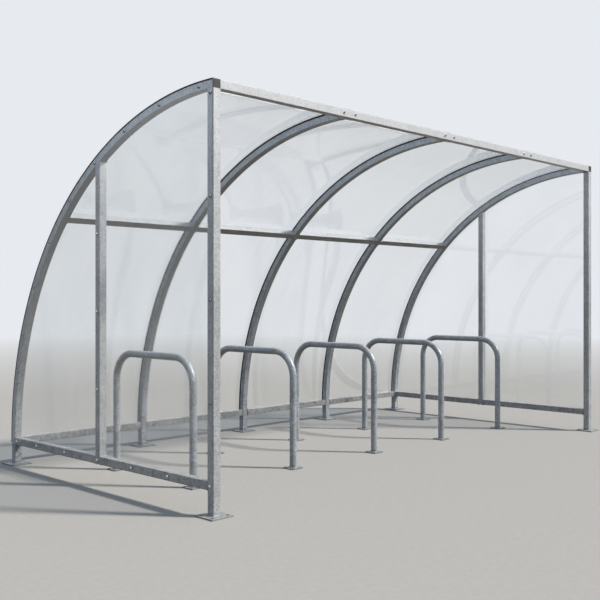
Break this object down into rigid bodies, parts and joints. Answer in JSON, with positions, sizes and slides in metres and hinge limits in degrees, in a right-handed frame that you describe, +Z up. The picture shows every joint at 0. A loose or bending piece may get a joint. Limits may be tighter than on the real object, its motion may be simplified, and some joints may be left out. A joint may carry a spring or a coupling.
{
  "type": "bicycle shelter",
  "caption": "Open-fronted bicycle shelter: galvanised box-section frame with curved ribs, clear bent roof and side sheets, and tubular bicycle hoops inside.",
  "frame": {"origin": "on the ground, in the middle of the footprint of the base plates", "axes": "+X along the shelter's length, -Y out of its open front, +Z up"},
  "size_m": [4.478, 2.325, 2.3618],
  "materials": {
    "galvanised_steel": "hot-dip galvanised, matt, with a faint spangle",
    "clear_sheet": "clear plastic sheet, glossy",
    "seal_rubber": "dark rubber seal strip, satin",
    "cap_plastic": "dark moulded plastic cap, satin"
  },
  "bodies": {
    "root": {"back_rail_1": "galvanised_steel", "back_rail_2": "galvanised_steel", "back_rail_3": "galvanised_steel", "back_rail_4": "galvanised_steel", "bike_hoop_1": "galvanised_steel", "bike_hoop_2": "galvanised_steel", "bike_hoop_3": "galvanised_steel", "bike_hoop_4": "galvanised_steel", "bike_hoop_5": "galvanised_steel", "front_post_left": "galvanised_steel", "front_post_right": "galvanised_steel", "gable_pane_left": "clear_sheet", "gable_pane_right": "clear_sheet", "gable_post_left": "galvanised_steel", "gable_post_right": "galvanised_steel", "header_beam": "galvanised_steel", "mid_rail_1": "galvanised_steel", "mid_rail_2": "galvanised_steel", "mid_rail_3": "galvanised_steel", "mid_rail_4": "galvanised_steel", "rib_1": "galvanised_steel", "rib_2": "galvanised_steel", "rib_3": "galvanised_steel", "rib_4": "galvanised_steel", "rib_5": "galvanised_steel", "rib_cap_left": "cap_plastic", "rib_cap_right": "cap_plastic", "roof_sheet_1": "clear_sheet", "roof_sheet_2": "clear_sheet", "roof_sheet_3": "clear_sheet", "roof_sheet_4": "clear_sheet", "seal_strip_1": "seal_rubber", "seal_strip_2": "seal_rubber", "seal_strip_3": "seal_rubber", "seal_strip_4": "seal_rubber", "seal_strip_5": "seal_rubber", "side_rail_back_left": "galvanised_steel", "side_rail_back_right": "galvanised_steel", "side_rail_front_left": "galvanised_steel", "side_rail_front_right": "galvanised_steel"}
  },
  "joints": []
}
